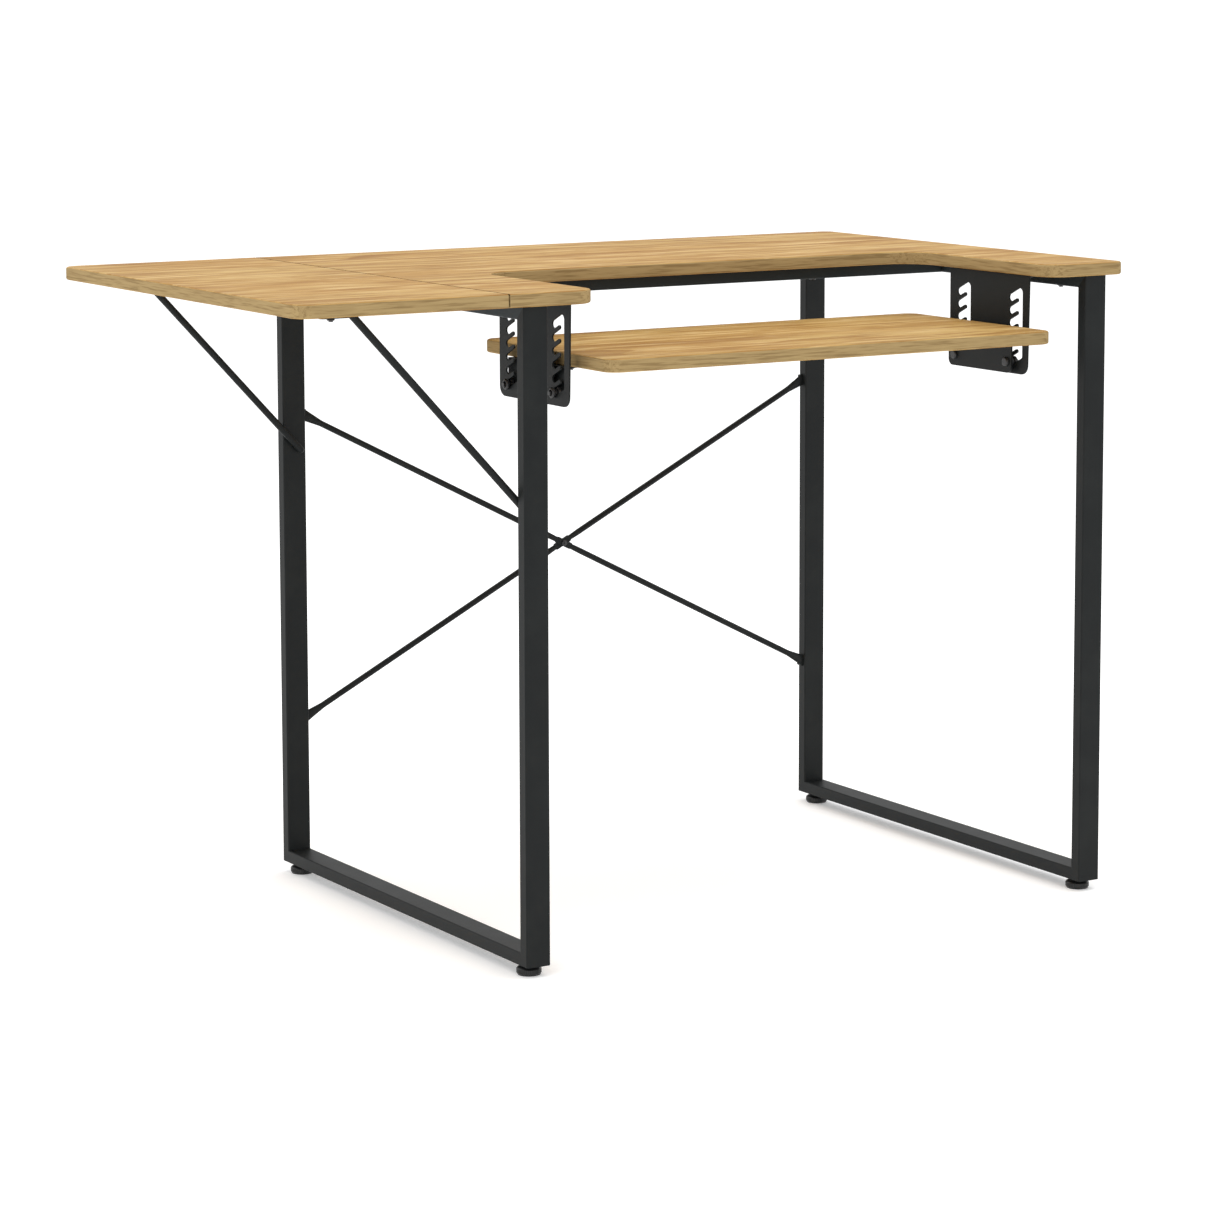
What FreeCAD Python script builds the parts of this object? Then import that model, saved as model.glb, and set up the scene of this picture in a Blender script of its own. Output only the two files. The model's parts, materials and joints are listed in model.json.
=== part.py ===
# Craft desk with a fold-down side leaf and a notched drop platform.
# Millimetres, +X to the user's right, -Y towards the user, +Z up.
# The origin is on the floor, under the middle of the whole desk with its leaf up.
import FreeCAD
import Part
import math
import os

V = FreeCAD.Vector

# ---- driving dimensions: boards ----
overall_height = 750.0
board_t = 15.0
desk_depth = 617.0
main_width = 829.0
leaf_width = 249.0
leaf_corner_r = 20.0
platform_corner_r = 18.0
arm_corner_r = 30.0
seam_gap = 2.0
edge_round = 2.5
corner_r = 15.0
cutout_width = 605.0
cutout_depth = 270.5
cutout_back_r = 42.0
platform_depth = 282.0
platform_side_gap = 2.5
platform_back_gap = 2.5
platform_back_r = 16.0

# ---- driving dimensions: tube frames ----
tube_w = 30.0
tube_d = 15.0
tube_wall = 1.2
tube_round = 1.6
frame_overhang = 21.5
frame_inset = 10.2
cross_rail_setback = 24.0

# ---- driving dimensions: feet ----
foot_clear = 12.0
foot_r = 14.0
foot_pad_h = 10.0
foot_setin = 21.5
stud_r = 4.0
insert_r = 5.5
insert_h = 11.0
insert_flange_r = 7.5
insert_flange_t = 1.0

# ---- driving dimensions: notched plates, hangers and pins ----
sheet_t = 2.0
plate_side_gap = 8.0
plate_front_setback = 49.3
plate_depth = 155.5
plate_height = 118.0
plate_corner_r = 12.0
plate_taper = 3.0
plate_flange = 26.0
notch_pitch = 15.0
notch_count = 6
notch_angle = 25.0
notch_width = 9.0
notch_first_z = 14.5
slot_front_inset = 12.5
slot_channel = 9.1
slot_reach = 26.2
slot_spacing = 102.0
slot_top_r = 5.5
slot_low_r = 3.5
pin_slack = 0.8
pin_play = 0.3
pin_hole_clear = 0.2
hanger_gap = 5.0
hanger_front_margin = 9.8
hanger_back_margin = 12.2
hanger_below_pin = 13.1
hanger_flange = 34.0
hanger_corner_r = 8.0
pin_collar_r = 6.5
pin_head_r = 5.5
pin_head_t = 3.0
cap_r = 6.0
cap_t = 4.6

# ---- driving dimensions: leaf hinges and struts ----
hinge_count = 3
hinge_len = 60.0
hinge_leaf_w = 19.0
hinge_t = 1.5
knuckle_r = 2.6
knuckle_drop = 3.1
hinge_pin_r = 1.4
hinge_pin_clear = 0.06
hinge_end_inset = 95.0
hinge_middle_shift = 60.0
strut_d = 8.2
strut_front_eye_x = 7.0
strut_back_eye_x = 21.0
strut_eye_z = 518.0
strut_tab_len = 38.0
strut_tab_t = 3.0
strut_tab_w = 11.0
strut_angle = 46.9
strut_face_gap = 0.6
strut_stub_r = 3.0
strut_stub_clear = 0.06
strut_clip_r = 5.0
strut_clip_t = 1.2
open_pivot_gap = 0.4

# ---- driving dimensions: cross brace ----
brace_d = 7.4
brace_top_z = 558.8
brace_low_z = 188.5
brace_flat_t = 3.2
brace_flat_w = 8.2
brace_flat_len = 26.0
brace_flare_w = 13.5
brace_foot_t = 3.0
brace_screw_r = 2.0
brace_screw_head_r = 3.0
brace_screw_head_t = 2.2
brace_screw_len = 7.0
brace_back_margin = 0.8
brace_mid_len = 26.0
brace_mid_gap = 0.1
brace_bolt_r = 2.0
brace_centre_head_r = 3.7
brace_centre_head_t = 2.0

# ---- driving dimensions: small fasteners ----
screw_r = 2.0
screw_head_r = 4.2
screw_head_t = 2.2
screw_bite = 10.0
bolt_r = 3.0
bolt_head_r = 5.6
bolt_head_t = 3.2

# ---- places worked out from the sizes above ----
total_width = leaf_width + seam_gap + main_width
left_x = -total_width / 2
seam_x = left_x + leaf_width + seam_gap / 2
main_x0 = left_x + leaf_width + seam_gap
main_x1 = total_width / 2
# the platform stands proud of the front edge by this much
platform_proud = platform_depth + platform_back_gap - cutout_depth
front_y = -(desk_depth + platform_proud) / 2 + platform_proud
back_y = front_y + desk_depth
under_z = overall_height - board_t
cut_x0 = main_x0 + (main_width - cutout_width) / 2
cut_x1 = cut_x0 + cutout_width
cut_y = front_y + cutout_depth
cut_mid_x = (cut_x0 + cut_x1) / 2
frame_y0 = front_y + frame_inset
frame_y1 = back_y - frame_inset
left_frame_x = main_x0 + frame_overhang
right_frame_x = main_x1 - frame_overhang - tube_w
frame_z0 = foot_clear
rail_z0 = under_z - tube_d
cross_y0 = cut_y + cross_rail_setback

plate_half = cutout_width / 2 + plate_side_gap
plate_y0 = front_y + plate_front_setback
plate_z0 = under_z - plate_height
platform_half = cutout_width / 2 - platform_side_gap
platform_y1 = cut_y - platform_back_gap
platform_y0 = platform_y1 - platform_depth
platform_top = overall_height - (notch_count - 1) * notch_pitch
platform_z0 = platform_top - board_t

slope = math.radians(notch_angle)
notch_r = notch_width / 2
pin_r = notch_r - pin_slack
notch_y = plate_y0 + slot_front_inset + slot_reach - notch_r
lowest_notch_z = plate_z0 + notch_first_z
pin_y = notch_y
pin_z = lowest_notch_z - (notch_r - pin_r - pin_play)
web_half = plate_half - hanger_gap
hanger_y0 = pin_y - hanger_front_margin
hanger_y1 = pin_y + slot_spacing + hanger_back_margin
hanger_z0 = pin_z - hanger_below_pin
pin_ys = [pin_y, pin_y + slot_spacing]


def box(x0, x1, y0, y1, z0, z1):
    return Part.makeBox(x1 - x0, y1 - y0, z1 - z0, V(x0, y0, z0))


def rod(start, end, radius):
    run = end - start
    return Part.makeCylinder(radius, run.Length, start, run)


def rounded_wire(corners, place):
    """Closed wire through corners (a, b, radius); place(a, b) gives the 3-D point."""
    ends = []
    count = len(corners)
    for i in range(count):
        a0, b0, _ = corners[i - 1]
        a1, b1, r = corners[i]
        a2, b2, _ = corners[(i + 1) % count]
        u = V(a0 - a1, b0 - b1, 0).normalize()
        w = V(a2 - a1, b2 - b1, 0).normalize()
        here = V(a1, b1, 0)
        if r <= 0:
            ends.append((here, here, here))
            continue
        half = u.getAngle(w) / 2
        middle = (u + w).normalize()
        centre = here + middle * (r / math.sin(half))
        reach = r / math.tan(half)
        ends.append((here + u * reach, centre - middle * r, here + w * reach))
    edges = []
    for i in range(count):
        enter, crown, leave = ends[i]
        if enter.distanceToPoint(leave) > 1e-6:
            edges.append(Part.Arc(place(enter.x, enter.y), place(crown.x, crown.y),
                                  place(leave.x, leave.y)).toShape())
        after = ends[(i + 1) % count][0]
        if leave.distanceToPoint(after) > 1e-6:
            edges.append(Part.LineSegment(place(leave.x, leave.y),
                                          place(after.x, after.y)).toShape())
    return Part.Wire(edges)


def prism(corners, place, run):
    return Part.Face(rounded_wire(corners, place)).extrude(run)


def round_board(board, sharp_x):
    """Soften the long arrises of a board, leaving the joint face at sharp_x square."""
    low = board.BoundBox.ZMin
    high = board.BoundBox.ZMax
    chosen = []
    for edge in board.Edges:
        b = edge.BoundBox
        level = b.ZLength < 1e-6 and (abs(b.ZMin - low) < 1e-6 or abs(b.ZMax - high) < 1e-6)
        on_joint = sharp_x is not None and max(abs(b.XMin - sharp_x), abs(b.XMax - sharp_x)) < 1e-6
        if level and not on_joint:
            chosen.append(edge)
    return board.makeFillet(edge_round, chosen)


def level_board(corners, z0, sharp_x=None):
    board = prism(corners, lambda a, b: V(a, b, z0), V(0, 0, board_t))
    return round_board(board, sharp_x)


def drilled(shape, tools):
    for tool in tools:
        shape = shape.cut(tool)
    return shape


def up_screw(x, y, face_z, length):
    """Pan-head screw driven upwards, its head bearing on face_z."""
    head = Part.makeCylinder(screw_head_r, screw_head_t, V(x, y, face_z - screw_head_t))
    rim = [e for e in head.Edges if abs(e.BoundBox.ZMax - (face_z - screw_head_t)) < 1e-6]
    head = head.makeFillet(screw_head_t * 0.6, rim)
    return head.fuse(up_shank(x, y, face_z, length)).removeSplitter()


def up_shank(x, y, face_z, length):
    return Part.makeCylinder(screw_r, length, V(x, y, face_z))


def hex_prism(centre, axis, across, length):
    """Hexagonal block with the given width across its flats."""
    side = V(0, 0, 1) if abs(axis.z) < 0.5 else V(1, 0, 0)
    other = axis.cross(side)
    r = across / math.sqrt(3)
    points = []
    for k in range(7):
        angle = math.radians(60 * k)
        points.append(centre + side * (r * math.cos(angle)) + other * (r * math.sin(angle)))
    return Part.Face(Part.makePolygon(points)).extrude(axis * length)


# ---- boards ----
def screw_lines():
    """Every fastener that goes up into a board: (x, y, face_z, length, board)."""
    rows = []
    through_tube = tube_d + screw_bite
    middle_y = (frame_y0 + frame_y1) / 2
    rail_reach = (frame_y1 - frame_y0) / 2 - 4.4 * tube_d
    for frame_x in (left_frame_x, right_frame_x):
        for step in (-1, 0.35, 1):
            rows.append(('rail', frame_x + tube_w / 2, middle_y + step * rail_reach, rail_z0, through_tube))
    for share in (0.25, 0.75):
        x = left_frame_x + tube_w + share * (right_frame_x - left_frame_x - tube_w)
        rows.append(('rail', x, cross_y0 + tube_w / 2, rail_z0, through_tube))
    for side in (-1, 1):
        x = cut_mid_x + side * (plate_half + sheet_t + (plate_flange - sheet_t) / 2)
        for share in (0.12, 0.5, 0.88):
            rows.append(('plate', x, plate_y0 + share * plate_depth, under_z - sheet_t, sheet_t + screw_bite))
        x = cut_mid_x + side * (platform_half - hanger_flange * 0.35)
        for share in (0.12, 0.5, 0.88):
            y = hanger_y0 + share * (hanger_y1 - hanger_y0)
            rows.append(('hanger', x, y, platform_z0 - sheet_t, sheet_t + screw_bite))
    for y in hinge_centres():
        for k in (-1, 0, 1):
            at = y + k * hinge_len * 0.36
            rows.append(('hinge_main', seam_x + hinge_leaf_w * 0.62, at, under_z - hinge_t, hinge_t + screw_bite))
            rows.append(('hinge_leaf', seam_x - hinge_leaf_w * 0.62, at, under_z - hinge_t, hinge_t + screw_bite))
    return rows


def shanks(kinds):
    return [up_shank(x, y, z, run) for kind, x, y, z, run in screw_lines() if kind in kinds]


def screws(kind):
    return Part.makeCompound([up_screw(x, y, z, run) for name, x, y, z, run in screw_lines() if name == kind])


def main_top():
    outline = [
        (main_x0, front_y, 0), (cut_x0, front_y, arm_corner_r), (cut_x0, cut_y, cutout_back_r),
        (cut_x1, cut_y, cutout_back_r), (cut_x1, front_y, arm_corner_r), (main_x1, front_y, corner_r),
        (main_x1, back_y, corner_r), (main_x0, back_y, 0)]
    board = level_board(outline, under_z, main_x0)
    return drilled(board, shanks(('rail', 'plate', 'hinge_main')))


def side_leaf():
    right = seam_x - seam_gap / 2
    outline = [(left_x, front_y, leaf_corner_r), (right, front_y, 0), (right, back_y, 0),
               (left_x, back_y, leaf_corner_r)]
    board = level_board(outline, under_z, right)
    return drilled(board, shanks(('hinge_leaf',)))


def platform_board():
    x0 = cut_mid_x - platform_half
    x1 = cut_mid_x + platform_half
    outline = [(x0, platform_y0, platform_corner_r), (x1, platform_y0, platform_corner_r),
               (x1, platform_y1, platform_back_r), (x0, platform_y1, platform_back_r)]
    board = level_board(outline, platform_z0)
    return drilled(board, shanks(('hanger',)))


# ---- tube frames ----
def mitred_tube(x0, start, end, inward):
    """Tube of a loop in the YZ plane: start and end are outer corners, inward points into the loop."""
    run = end - start
    length = run.Length
    along = V(run).normalize()

    def trapezoid(near, far, xa, xb):
        place = lambda u, d: V(xa, 0, 0) + start + along * u + inward * d
        corners = [(near, near, 0), (length - near, near, 0), (length - far, far, 0), (far, far, 0)]
        return prism(corners, place, V(xb - xa, 0, 0))

    outer = trapezoid(0, tube_d, x0, x0 + tube_w)
    long_edges = []
    for edge in outer.Edges:
        if len(edge.Vertexes) != 2:
            continue
        way = (edge.Vertexes[1].Point - edge.Vertexes[0].Point).normalize()
        if abs(way.dot(along)) > 0.999:
            long_edges.append(edge)
    outer = outer.makeFillet(tube_round, long_edges)
    inner = trapezoid(tube_wall, tube_d - tube_wall, x0 + tube_wall, x0 + tube_w - tube_wall)
    return outer.cut(inner)


def frame_tubes(x0):
    """The four mitred tubes of one side frame."""
    low_front = V(0, frame_y0, frame_z0)
    low_back = V(0, frame_y1, frame_z0)
    top_front = V(0, frame_y0, under_z)
    top_back = V(0, frame_y1, under_z)
    return {
        'front_leg': mitred_tube(x0, low_front, top_front, V(0, 1, 0)),
        'back_leg': mitred_tube(x0, low_back, top_back, V(0, -1, 0)),
        'bottom_bar': mitred_tube(x0, low_front, low_back, V(0, 0, 1)),
        'top_rail': mitred_tube(x0, top_front, top_back, V(0, 0, -1))}


def foot_places():
    places = []
    for name, x in (('left', left_frame_x), ('right', right_frame_x)):
        places.append(('front_' + name, x + tube_w / 2, frame_y0 + foot_setin))
        places.append(('back_' + name, x + tube_w / 2, frame_y1 - foot_setin))
    return places


def cross_rail():
    x0 = left_frame_x + tube_w
    x1 = right_frame_x
    outer = box(x0, x1, cross_y0, cross_y0 + tube_w, rail_z0, under_z)
    outer = outer.makeFillet(tube_round, [e for e in outer.Edges if e.BoundBox.XLength > tube_w])
    hollow = box(x0, x1, cross_y0 + tube_wall, cross_y0 + tube_w - tube_wall,
                 rail_z0 + tube_wall, under_z - tube_wall)
    return drilled(outer.cut(hollow), shanks(('rail',)))


def cross_rail_plugs():
    """Threaded plugs pressed into both ends of the cross rail."""
    plugs = []
    for x0, x1 in ((left_frame_x + tube_w, left_frame_x + tube_w + tube_d),
                   (right_frame_x - tube_d, right_frame_x)):
        block = box(x0, x1, cross_y0 + tube_wall, cross_y0 + tube_w - tube_wall,
                    rail_z0 + tube_wall, under_z - tube_wall)
        plugs.append(drilled(block, [cross_bolt_shank(-1), cross_bolt_shank(1)]))
    return Part.makeCompound(plugs)


def cross_bolt_shank(side, radius=bolt_r):
    y = cross_y0 + tube_w / 2
    z = rail_z0 + tube_d / 2
    outer_x = left_frame_x if side < 0 else right_frame_x + tube_w
    inner_x = outer_x - side * (tube_w + tube_d)
    return rod(V(outer_x, y, z), V(inner_x, y, z), radius)


def cross_rail_bolts():
    bolts = []
    for side in (-1, 1):
        outer_x = left_frame_x if side < 0 else right_frame_x + tube_w
        shank = cross_bolt_shank(side)
        head = rod(V(outer_x, cross_y0 + tube_w / 2, rail_z0 + tube_d / 2),
                   V(outer_x + side * bolt_head_t, cross_y0 + tube_w / 2, rail_z0 + tube_d / 2), bolt_head_r)
        bolts.append(shank.fuse(head))
    return Part.makeCompound(bolts)


# ---- levelling feet ----
def foot_pad(x, y):
    """Moulded pad with a softened rim and a collar round the stud."""
    profile = [(0, 0, 0), (foot_r - 1.2, 0, 0.6), (foot_r, 1.6, 1.0), (foot_r, foot_pad_h * 0.62, 2.0),
               (foot_r * 0.72, foot_pad_h, 1.2), (0, foot_pad_h, 0)]
    face = Part.Face(rounded_wire(profile, lambda a, b: V(x + a, y, b)))
    pad = face.revolve(V(x, y, 0), V(0, 0, 1), 360)
    return pad.cut(Part.makeCylinder(stud_r, foot_pad_h, V(x, y, foot_pad_h * 0.35)))


def stud_top():
    return frame_z0 + tube_d - tube_wall - 0.6


def foot_stud(x, y):
    base = foot_pad_h * 0.35
    stud = Part.makeCylinder(stud_r, stud_top() - base, V(x, y, base))
    crown = [e for e in stud.Edges if abs(e.BoundBox.ZMin - stud_top()) < 1e-6]
    return stud.makeChamfer(0.7, crown)


def foot_insert(x, y):
    flange = Part.makeCylinder(insert_flange_r, insert_flange_t, V(x, y, frame_z0 - insert_flange_t))
    barrel = Part.makeCylinder(insert_r, insert_h, V(x, y, frame_z0))
    return flange.fuse(barrel).cut(
        Part.makeCylinder(stud_r + 0.08, insert_h + 2 * insert_flange_t, V(x, y, frame_z0 - insert_flange_t)))


def insert_hole(x, y):
    return Part.makeCylinder(insert_r, tube_wall * 2, V(x, y, frame_z0 - tube_wall / 2))


# ---- notched plates, hangers and platform pins ----
def slot_outline(front):
    """Vertical channel with notches that fall away to the back; (y, z, radius) corners by formula."""
    finger = notch_pitch * math.cos(slope) - notch_width
    tip_y = front + slot_channel
    back = front + slot_reach - notch_r
    along = V(math.cos(slope), -math.sin(slope), 0)
    across = V(math.sin(slope), math.cos(slope), 0)
    edges = []
    centres = [V(back, lowest_notch_z + (notch_count - 1 - k) * notch_pitch, 0) for k in range(notch_count)]

    def meet(point, y):
        return V(y, point.y + (point.x - y) * math.tan(slope), 0)

    top_corner = meet(centres[0] + across * notch_r, front)
    low_corner = meet(centres[-1] - across * notch_r, front)
    top = fillet_points(V(front, low_corner.y, 0), top_corner, centres[0] + across * notch_r, slot_top_r)
    low = fillet_points(centres[-1] - across * notch_r, low_corner, V(front, top_corner.y, 0), slot_low_r)
    edges.append(('line', low[2], top[0]))
    edges.append(('arc', top[0], top[1], top[2]))
    here = top[2]
    for k, centre in enumerate(centres):
        upper = centre + across * notch_r
        lower = centre - across * notch_r
        edges.append(('line', here, upper))
        edges.append(('arc', upper, centre + along * notch_r, lower))
        if k == notch_count - 1:
            edges.append(('line', lower, low[0]))
            edges.append(('arc', low[0], low[1], low[2]))
            break
        middle = meet(lower - across * (finger / 2), tip_y + finger / 2)
        edges.append(('line', lower, middle + across * (finger / 2)))
        edges.append(('arc', middle + across * (finger / 2), middle - along * (finger / 2),
                      middle - across * (finger / 2)))
        here = middle - across * (finger / 2)
    return edges


def fillet_points(before, corner, after, radius):
    u = (before - corner).normalize()
    w = (after - corner).normalize()
    half = u.getAngle(w) / 2
    middle = (u + w).normalize()
    reach = radius / math.tan(half)
    centre = corner + middle * (radius / math.sin(half))
    return [corner + u * reach, centre - middle * radius, corner + w * reach]


def slot_tool(front, x0, x1):
    shapes = []
    for item in slot_outline(front):
        points = [V(x0, p.x, p.y) for p in item[1:]]
        if item[0] == 'line':
            shapes.append(Part.LineSegment(points[0], points[1]).toShape())
        else:
            shapes.append(Part.Arc(points[0], points[1], points[2]).toShape())
    return Part.Face(Part.Wire(shapes)).extrude(V(x1 - x0, 0, 0))


def notched_plate(side):
    """Sheet plate hanging from the top, with an outward flange and two notched slots."""
    inner = cut_mid_x + side * plate_half
    outer = inner + side * sheet_t
    x0 = min(inner, outer)
    x1 = max(inner, outer)
    y1 = plate_y0 + plate_depth
    outline = [(plate_y0 + plate_taper, plate_z0, plate_corner_r), (y1, plate_z0, plate_corner_r),
               (y1, under_z, 0), (plate_y0, under_z, 0)]
    web = prism(outline, lambda a, b: V(x0, a, b), V(x1 - x0, 0, 0))
    flange_end = inner + side * plate_flange
    flange = box(min(inner, flange_end), max(inner, flange_end), plate_y0, y1, under_z - sheet_t, under_z)
    plate = web.fuse(flange).removeSplitter()
    for k in (0, 1):
        front = plate_y0 + slot_front_inset + k * slot_spacing
        plate = plate.cut(slot_tool(front, x0 - 1, x1 + 1))
    return drilled(plate, shanks(('plate',)))


def hanger(side):
    """Angle under the platform: its web carries the two pins, its flange is screwed to the board."""
    outer = cut_mid_x + side * web_half
    inner = outer - side * sheet_t
    end = cut_mid_x + side * (platform_half - hanger_flange)
    outline = [(hanger_y0, hanger_z0, hanger_corner_r), (hanger_y1, hanger_z0, hanger_corner_r),
               (hanger_y1, platform_z0, 0), (hanger_y0, platform_z0, 0)]
    web = prism(outline, lambda a, b: V(min(inner, outer), a, b), V(sheet_t, 0, 0))
    flange = box(min(end, outer), max(end, outer), hanger_y0, hanger_y1, platform_z0 - sheet_t, platform_z0)
    angle = web.fuse(flange).removeSplitter()
    holes = [rod(V(inner - side, y, pin_z), V(outer + side, y, pin_z), pin_r + pin_hole_clear) for y in pin_ys]
    return drilled(angle, holes + shanks(('hanger',)))


def platform_pins(side):
    """Two shouldered pins: inner head, collar between web and plate, shank through the slot."""
    web_in = cut_mid_x + side * (web_half - sheet_t)
    web_out = web_in + side * sheet_t
    plate_in = cut_mid_x + side * plate_half
    end = plate_in + side * (sheet_t + pin_play + cap_t)
    pins = []
    for y in pin_ys:
        head = rod(V(web_in, y, pin_z), V(web_in - side * pin_head_t, y, pin_z), pin_head_r)
        rim = [e for e in head.Edges if abs(e.BoundBox.XMin - (web_in - side * pin_head_t)) < 1e-6]
        head = head.makeFillet(pin_head_t * 0.6, rim)
        shank = rod(V(web_in, y, pin_z), V(end, y, pin_z), pin_r)
        collar = rod(V(web_out, y, pin_z), V(plate_in - side * pin_play, y, pin_z), pin_collar_r)
        pins.append(head.fuse(shank).fuse(collar))
    return Part.makeCompound(pins)


def platform_caps(side):
    """Round retaining caps on the outer ends of the pins."""
    start = cut_mid_x + side * (plate_half + sheet_t + pin_play)
    end = start + side * cap_t
    caps = []
    for y in pin_ys:
        cap = rod(V(start, y, pin_z), V(end, y, pin_z), cap_r)
        rim = [e for e in cap.Edges if abs(e.BoundBox.XMin - end) < 1e-6]
        cap = cap.makeFillet(cap_t * 0.2, rim)
        caps.append(cap.cut(rod(V(start - side, y, pin_z), V(end + side, y, pin_z), pin_r)))
    return Part.makeCompound(caps)


# ---- leaf hinges ----
def hinge_centres():
    first = front_y + hinge_end_inset
    last = back_y - hinge_end_inset
    places = [first + k * (last - first) / (hinge_count - 1) for k in range(hinge_count)]
    # the ones between the end hinges stand back from the cross rail's bolt
    return [places[0]] + [y + hinge_middle_shift for y in places[1:-1]] + [places[-1]]


def hinge_axis_z():
    return under_z - knuckle_drop


def hinge_plate(y, side):
    """One flap of a butt hinge with its share of the five knuckles."""
    y0 = y - hinge_len / 2
    step = hinge_len / 5
    gap = 0.25
    z = hinge_axis_z()
    # the flap stops short of the knuckles that belong to the other flap
    clear = knuckle_r + gap
    shape = box(min(seam_x + side * clear, seam_x + side * hinge_leaf_w),
                max(seam_x + side * clear, seam_x + side * hinge_leaf_w),
                y0, y0 + hinge_len, under_z - hinge_t, under_z)
    owned = (0, 2, 4) if side > 0 else (1, 3)
    for k in owned:
        ya = y0 + k * step + gap
        yb = y0 + (k + 1) * step - gap
        knuckle = rod(V(seam_x, ya, z), V(seam_x, yb, z), knuckle_r)
        bridge = box(min(seam_x, seam_x + side * clear), max(seam_x, seam_x + side * clear),
                     ya, yb, under_z - hinge_t, under_z - (knuckle_drop - knuckle_r))
        bridge = bridge.cut(rod(V(seam_x, ya, z), V(seam_x, yb, z), knuckle_r * 0.9))
        shape = shape.fuse(knuckle).fuse(bridge)
    bore = rod(V(seam_x, y0, z), V(seam_x, y0 + hinge_len, z), hinge_pin_r + hinge_pin_clear)
    kind = 'hinge_main' if side > 0 else 'hinge_leaf'
    return drilled(shape.cut(bore).removeSplitter(), shanks((kind,)))


def hinge_pins():
    z = hinge_axis_z()
    pins = []
    for y in hinge_centres():
        pins.append(rod(V(seam_x, y - hinge_len / 2, z), V(seam_x, y + hinge_len / 2, z), hinge_pin_r))
    return Part.makeCompound(pins)


# ---- leaf struts ----
def strut_side(which):
    """y of the leg face that the strut lies against, and the way out from that face."""
    if which == 'front':
        return frame_y0 + tube_d, 1
    return frame_y1 - tube_d, -1


def strut_line(which):
    inset = strut_front_eye_x if which == "front" else strut_back_eye_x
    eye = V(left_frame_x + inset, 0, strut_eye_z)
    top_z = under_z - open_pivot_gap - strut_tab_t / 2
    rise = top_z - strut_eye_z
    bend = V(eye.x - rise / math.tan(math.radians(strut_angle)), 0, top_z)
    return eye, bend


def strut(which):
    """Round bar whose lower end turns into the leg, with a flattened, level tab under the leaf."""
    face_y, way = strut_side(which)
    eye, bend = strut_line(which)
    mid_y = face_y + way * (strut_face_gap + strut_d / 2)
    eye = V(eye.x, mid_y, eye.z)
    bend = V(bend.x, mid_y, bend.z)
    bar = rod(eye, bend, strut_d / 2).fuse(Part.makeSphere(strut_d / 2, eye))
    knee = Part.makeSphere(strut_d / 2, bend)
    stub = rod(eye, V(eye.x, stub_end_y(which), eye.z), strut_stub_r)
    low_z = under_z - open_pivot_gap - strut_tab_t
    edge_y = mid_y - way * strut_d / 2
    far_y = edge_y + way * strut_tab_w
    tab = box(bend.x - strut_tab_len, bend.x, min(edge_y, far_y), max(edge_y, far_y), low_z, low_z + strut_tab_t)
    tab = tab.makeFillet(strut_tab_w * 0.4, [e for e in tab.Edges
                         if e.BoundBox.ZLength > strut_tab_t * 0.9 and e.BoundBox.XMax < bend.x - 1])
    body = bar.fuse(knee).fuse(tab).fuse(stub)
    ceiling = box(bend.x - strut_tab_len, bend.x + strut_tab_len, mid_y - strut_tab_w, mid_y + strut_tab_w,
                  under_z - open_pivot_gap, under_z + strut_d)
    screw_hole = Part.makeCylinder(screw_r, strut_tab_t * 3,
                                   V(tab_screw_x(which), tab_screw_y(which), low_z - strut_tab_t))
    return drilled(body, [ceiling, screw_hole])


def stub_end_y(which):
    """The stub runs across the hollow of the leg and stops short of its far wall."""
    face_y, way = strut_side(which)
    return face_y - way * (tube_d - tube_wall) * 0.6


def strut_clip(which):
    """Push-on ring that keeps the stub in the leg."""
    way = strut_side(which)[1]
    eye = strut_line(which)[0]
    near_y = stub_end_y(which) + way * (1.0 + strut_clip_t)
    far_y = near_y - way * strut_clip_t
    ring = rod(V(eye.x, near_y, eye.z), V(eye.x, far_y, eye.z), strut_clip_r)
    return ring.cut(rod(V(eye.x, near_y + way, eye.z), V(eye.x, far_y - way, eye.z), strut_stub_r))


def tab_screw_x(which):
    return strut_line(which)[1].x - strut_tab_len * 0.65


def tab_screw_y(which):
    face_y, way = strut_side(which)
    return face_y + way * (strut_face_gap + strut_tab_w / 2)


def strut_tab_screw(which):
    """Captive screw, backed out flush with the top of the tab so that the strut can swing."""
    low_z = under_z - open_pivot_gap - strut_tab_t
    return up_screw(tab_screw_x(which), tab_screw_y(which), low_z, strut_tab_t)


def strut_leg_hole(which):
    face_y, way = strut_side(which)
    eye = strut_line(which)[0]
    return rod(V(eye.x, face_y + way, eye.z), V(eye.x, face_y - way * tube_wall * 2, eye.z),
               strut_stub_r + strut_stub_clear)


# ---- cross brace ----
def brace_ends(falling):
    """Axis ends of one brace bar at the inner faces of the back legs."""
    y = frame_y1 - tube_d / 2
    left_z, right_z = (brace_top_z, brace_low_z) if falling else (brace_low_z, brace_top_z)
    return V(left_frame_x + tube_w, y, left_z), V(right_frame_x, y, right_z)


def brace_side(falling):
    """The two bars lie face to face, one each side of the legs' middle plane."""
    shift = (brace_flat_t + brace_mid_gap) / 2
    return -shift if falling else shift


def oval(centre, normal, along_y, thick, cross):
    """Closed oval ring across a bar: along_y wide in Y, or cross wide in the bar's own plane."""
    points = []
    for k in range(4):
        angle = math.radians(90 * k)
        points.append(centre + V(0, along_y * math.cos(angle), 0) + normal * (thick * math.sin(angle)))
    if abs(along_y - thick) < 1e-6:
        return Part.Wire([Part.Circle(centre, cross, along_y).toShape()])
    major = points[0] if along_y > thick else points[1]
    minor = points[1] if along_y > thick else points[0]
    return Part.Wire([Part.Ellipse(major, minor, centre).toShape()])


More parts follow.
